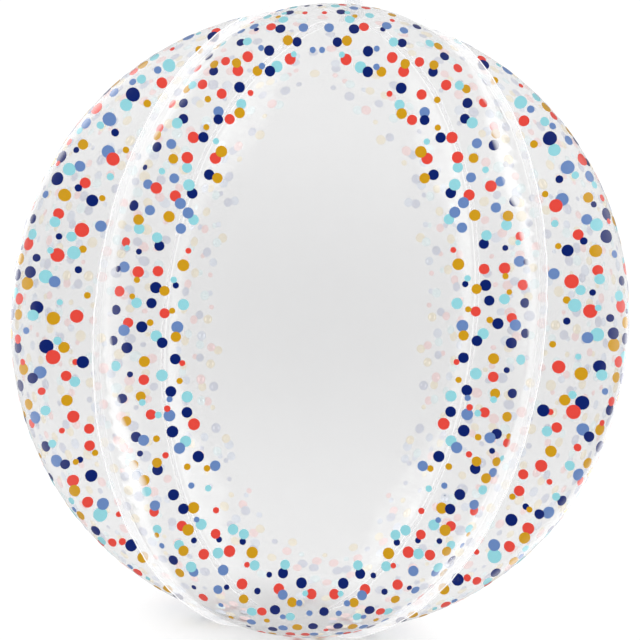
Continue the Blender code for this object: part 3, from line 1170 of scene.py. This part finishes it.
class BALLOON_OT_confetti_print(bpy.types.Operator):
    """Build the confetti dots, one piece for each ink, laid onto the film"""

    bl_idname = "balloon.confetti_print"
    bl_label = "Confetti Print"

    def execute(self, context):
        film = context.scene.balloon_film
        print_ = context.scene.balloon_print
        templates = {False: dot_template(LARGE_SIDES, True), True: dot_template(SMALL_SIDES, False)}
        middle = widest_height(film)
        panels = [panel_map(form) for form in panel_forms(film)]
        window = (print_.window_across, print_.window_along)
        back_window = tuple(half * print_.back_window for half in window)
        front = Layout(print_.seed, window, FRONT_MARGIN, print_.spacing, 1.0, FRONT_VARIETY)
        side = front._replace(
            seed=print_.seed + 1, window=None, margin=SIDE_MARGIN,
            spacing=print_.side_spacing, size=print_.side_size, variety=SIDE_VARIETY,
        )
        back = front._replace(
            seed=print_.seed + 2, window=back_window, margin=BACK_MARGIN,
            spacing=print_.back_spacing, size=print_.back_size,
        )
        front_dots, side_dots, back_dots = (
            layout_dots(print_, panel, middle, layout)
            for panel, layout in zip(panels, (front, side, back))
        )
        graph = context.evaluated_depsgraph_get()
        laid = []
        for index, dots in enumerate((front_dots, side_dots, back_dots, side_dots)):
            tree = BVHTree.FromObject(bpy.data.objects[f"{PANELS[index]}_film"], graph)
            laid += panel_dots(
                print_, panels[index], middle, dots, ARTWORK[index], templates, tree
            )
        for ink, name in enumerate(INKS):
            self.build_ink(print_, name, [entry for entry in laid if entry[0] == ink], templates)
        return {"FINISHED"}

    def build_ink(self, print_, name, laid, templates):
        """Makes one piece of all the dots of an ink, with a pale underside."""
        points = []
        faces = []
        unders = []
        whites = []
        for _, small, dot_points, dot_whites in laid:
            _, dot_faces, dot_unders = templates[small]
            faces += [tuple(corner + len(points) for corner in face) for face in dot_faces]
            points += dot_points
            unders += dot_unders
            whites += dot_whites
        mesh = bpy.data.meshes.new(f"print_{name}")
        mesh.from_pydata(points, [], faces)
        mark_points(mesh, "gather", whites)
        piece = new_piece(f"print_{name}", mesh)
        bpy.ops.object.shade_smooth_by_angle(angle=SMOOTH_ANGLE)
        colour = getattr(print_, name)
        white = print_.underprint
        pale = [white + (1 - white) * math.sqrt(value) for value in colour]
        # The underside shows the white underprint, with a painted glow for the light through the dot
        materials = [
            ink_material(f"{name}_ink", colour, INK_ROUGHNESS, 0.0),
            ink_material(f"{name}_ink_underside", pale, UNDERSIDE_ROUGHNESS, UNDERSIDE_PAINTED_GLOW),
        ]
        finish_piece(piece, f"print_{name}", f"dot_{name}", materials)
        piece.data.polygons.foreach_set("material_index", np.array(unders, np.int32))


# ---------------- the neck


def neck_point(tube, angle, share):
    """A point of a flat tube with welded sides, at an angle round it and a share of its height."""
    rise = tube.low + (tube.high - tube.low) * share
    flare = float(smoothstep((rise - NECK_LOW.z - NECK_END) / NECK_FLARE))
    wide = tube.foot + (tube.width - tube.foot) * flare
    weld = tube.foot_weld + (tube.weld - tube.foot_weld) * flare
    across = math.cos(angle) * wide / 2
    open_share = min(1.0, abs(across) / (wide / 2 - weld))
    slack = tube.fullness * (NECK_SLACK + (1 - NECK_SLACK) * share)
    half = NECK_LEAF + slack / 2 * (1 - open_share**2) ** NECK_CROWN
    sign = np.sign(round(math.sin(angle), 6))
    corner = max(0.0, abs(across) - (wide / 2 - NECK_CORNER)) / NECK_CORNER
    rounding = 1 - math.sqrt(max(0.0, 1 - min(corner, 1.0) ** 2))
    limp = LIMP_DEPTH * math.sin(across * LIMP_ACROSS + rise * LIMP_UP) * share
    return across, sign * half + limp, rise - NECK_CORNER * rounding * share**CORNER_POWER


class BALLOON_OT_filling_neck(bpy.types.Operator):
    """Build the flat filling neck, with its inner valve film"""

    bl_idname = "balloon.filling_neck"
    bl_label = "Filling Neck"

    def execute(self, context):
        neck = context.scene.balloon_neck
        material = plain_film_material(
            "neck_film", NECK_SURFACE, NECK_COLOUR, neck.opacity, NECK_ROUGHNESS, FILM_GLOSS, NECK_PAINTED_GLOW
        )
        low = NECK_LOW.z + NECK_END
        high = NECK_HIGH.z - NECK_END
        foot_weld = neck.weld * neck.foot_width / neck.width
        valve_weld = neck.weld * VALVE_WELD
        tubes = (
            Tube("neck_film", neck.foot_width, neck.width, foot_weld, neck.weld,
                 neck.fullness, low, high, ("filling_neck",)),
            Tube("neck_valve", VALVE_FOOT, VALVE_WIDTH, valve_weld, valve_weld,
                 neck.fullness * VALVE_FULLNESS, low + VALVE_BOTTOM, high - VALVE_TOP, ()),
        )
        for tube in tubes:
            self.build_tube(tube, material)
        return {"FINISHED"}

    def build_tube(self, tube, material):
        """Makes one flat tube in the plane of two opposite seams."""
        start_fresh()
        bpy.ops.mesh.primitive_cylinder_add(
            vertices=NECK_SIDES, radius=1, depth=1, end_fill_type="NOTHING"
        )
        shell = bpy.context.object
        mesh = shell.data
        bpy.ops.object.mode_set(mode="EDIT")
        bpy.ops.mesh.select_all(action="DESELECT")
        bpy.ops.object.mode_set(mode="OBJECT")
        for edge in mesh.edges:
            first, second = (mesh.vertices[vertex].co for vertex in edge.vertices)
            edge.select = abs(first.z - second.z) > 0.5
        bpy.ops.object.mode_set(mode="EDIT")
        bpy.ops.mesh.subdivide(number_cuts=NECK_LEVELS - 1)
        bpy.ops.object.mode_set(mode="OBJECT")
        turn = Matrix.Rotation(-HALF_PANEL, 3, "Z")
        for vertex in mesh.vertices:
            angle = math.atan2(vertex.co.y, vertex.co.x)
            vertex.co = turn @ Vector(neck_point(tube, angle, vertex.co.z + 0.5))
        face_outwards()
        apply_solidify(shell, TUBE_WALL)
        bpy.ops.object.shade_smooth_by_angle(angle=NECK_SMOOTH_ANGLE)
        finish_piece(shell, tube.name, "neck_film", [material], *tube.nodes)


# ---------------- the studio


def studio_world(studio):
    """White surroundings with tall soft boxes of light at both sides, dim behind the camera."""
    world = bpy.data.worlds.new("studio_world")
    bpy.context.scene.world = world
    world.use_nodes = True
    tree = world.node_tree
    direction = tree.nodes.new("ShaderNodeTexCoord").outputs["Generated"]
    parts = fill(tree, tree.nodes.new("ShaderNodeSeparateXYZ"), Vector=direction)
    x, y, z = parts.outputs
    azimuth = math_node(tree, "ARCTAN2", x, math_node(tree, "MULTIPLY", y, -1.0))
    elevation = math_node(tree, "ARCSINE", z)
    lean = math_node(tree, "MULTIPLY", math_node(tree, "ABSOLUTE", elevation), SOFTBOX_LEAN)

    def soft(value, start, end):
        """Eases from 0 to 1 while the value runs from start to end."""
        return moved_range(tree, value, source=(start, end), kind="SMOOTHSTEP")

    more = studio.behind - studio.camera_side
    gloss = math_node(tree, "MULTIPLY_ADD", soft(y, *BEHIND), more, studio.camera_side)
    for *degrees, share in SOFTBOXES:
        start, full, full_end, end, rise, half_height = map(math.radians, degrees)
        for side in (1, -1):
            swing = math_node(tree, "MULTIPLY_ADD", azimuth, side, lean)
            inner = soft(swing, start, full)
            outer = soft(swing, end, full_end)
            off = math_node(tree, "ABSOLUTE", math_node(tree, "SUBTRACT", elevation, side * rise))
            tall = soft(off, half_height, half_height * SOFTBOX_CORE)
            light = math_node(tree, "MULTIPLY", math_node(tree, "MULTIPLY", inner, outer), tall)
            gloss = math_node(tree, "MULTIPLY_ADD", light, studio.softbox * share, gloss)

    rays = tree.nodes.new("ShaderNodeLightPath").outputs
    lit = tree.nodes.new("ShaderNodeMix")
    fill(tree, lit, Factor=rays["Is Glossy Ray"], A=studio.room, B=gloss)
    seen = tree.nodes.new("ShaderNodeMix")
    fill(tree, seen, Factor=rays["Is Camera Ray"], A=lit.outputs["Result"], B=studio.backdrop)
    fill(tree, tree.nodes["Background"], Color=WHITE, Strength=seen.outputs["Result"])


def floor_material(studio):
    """A pale floor under the balloon that runs out into the white backdrop."""
    material, tree, shader = new_material(
        "pale_floor", Base_Color=FLOOR_COLOUR, Roughness=0.9, Specular_IOR_Level=0.0
    )
    reach = tree.nodes.new("ShaderNodeVectorMath")
    reach.operation = "LENGTH"
    put(tree, reach.inputs[0], tree.nodes.new("ShaderNodeTexCoord").outputs["Object"])
    far = moved_range(tree, reach.outputs["Value"], source=SHADOW_FADE, kind="SMOOTHSTEP")
    glow = fill(tree, tree.nodes.new("ShaderNodeEmission"), Strength=studio.backdrop)
    blend = fill(tree, tree.nodes.new("ShaderNodeMixShader"), Fac=far)
    put(tree, blend.inputs[1], shader.outputs["BSDF"])
    put(tree, blend.inputs[2], glow.outputs["Emission"])
    fill(tree, tree.nodes["Material Output"], Surface=blend.outputs["Shader"])
    return material


class BALLOON_OT_studio(bpy.types.Operator):
    """Set up the camera, the pale floor and the soft studio light"""

    bl_idname = "balloon.studio"
    bl_label = "Studio"

    def execute(self, context):
        studio = context.scene.balloon_studio
        camera_data = bpy.data.cameras.new("studio_camera")
        camera_data.lens = studio.lens
        camera_data.sensor_width = SENSOR_WIDTH
        camera = bpy.data.objects.new("studio_camera", camera_data)
        context.scene.collection.objects.link(camera)
        middle = widest_height(context.scene.balloon_film)
        facing = Matrix.Rotation(math.pi / 2, 4, "X") @ Matrix.Rotation(studio.roll, 4, "Z")
        camera.matrix_world = Matrix.Translation((0, -studio.distance, middle)) @ facing
        context.scene.camera = camera

        start_fresh()
        bpy.ops.mesh.primitive_plane_add(size=FLOOR_SIZE, location=(0, 0, -FLOOR_DROP))
        floor = context.object
        floor.name = "studio_floor"
        floor.data.materials.append(floor_material(studio))
        floor.visible_glossy = False
        studio_world(studio)
        context.scene.view_settings.view_transform = "Standard"
        context.scene.cycles.transparent_max_bounces = FILM_LAYERS
        return {"FINISHED"}


# ---------------- the sidebar and the build


SETTINGS = (
    ("balloon_film", FilmSettings),
    ("balloon_print", PrintSettings),
    ("balloon_neck", NeckSettings),
    ("balloon_studio", StudioSettings),
)
OPERATORS = (
    BALLOON_OT_studio,
    BALLOON_OT_film_panels,
    BALLOON_OT_seam_edges,
    BALLOON_OT_confetti_print,
    BALLOON_OT_filling_neck,
)


class BALLOON_PT_sidebar(bpy.types.Panel):
    """Lists the balloon's settings and building steps"""

    bl_idname = "BALLOON_PT_sidebar"
    bl_label = "Sphere Foil Balloon"
    bl_space_type = "VIEW_3D"
    bl_region_type = "UI"
    bl_category = "Balloon"

    def draw(self, context):
        layout = self.layout
        for name, settings in SETTINGS:
            box = layout.box()
            for key in settings.__annotations__:
                box.prop(getattr(context.scene, name), key)
        for operator in OPERATORS:
            layout.operator(operator.bl_idname)


def register():
    """Registers the settings, the building steps and the sidebar."""
    for name, settings in SETTINGS:
        bpy.utils.register_class(settings)
        setattr(bpy.types.Scene, name, bpy.props.PointerProperty(type=settings))
    for operator in OPERATORS:
        bpy.utils.register_class(operator)
    bpy.utils.register_class(BALLOON_PT_sidebar)


def unregister():
    """Takes them out again, in the opposite order."""
    bpy.utils.unregister_class(BALLOON_PT_sidebar)
    for operator in reversed(OPERATORS):
        bpy.utils.unregister_class(operator)
    for name, settings in reversed(SETTINGS):
        delattr(bpy.types.Scene, name)
        bpy.utils.unregister_class(settings)


def main():
    """Builds the studio and the balloon."""
    register()
    bpy.ops.balloon.studio()
    bpy.ops.balloon.film_panels()
    bpy.ops.balloon.seam_edges()
    bpy.ops.balloon.confetti_print()
    bpy.ops.balloon.filling_neck()


if __name__ == "__main__":
    main()
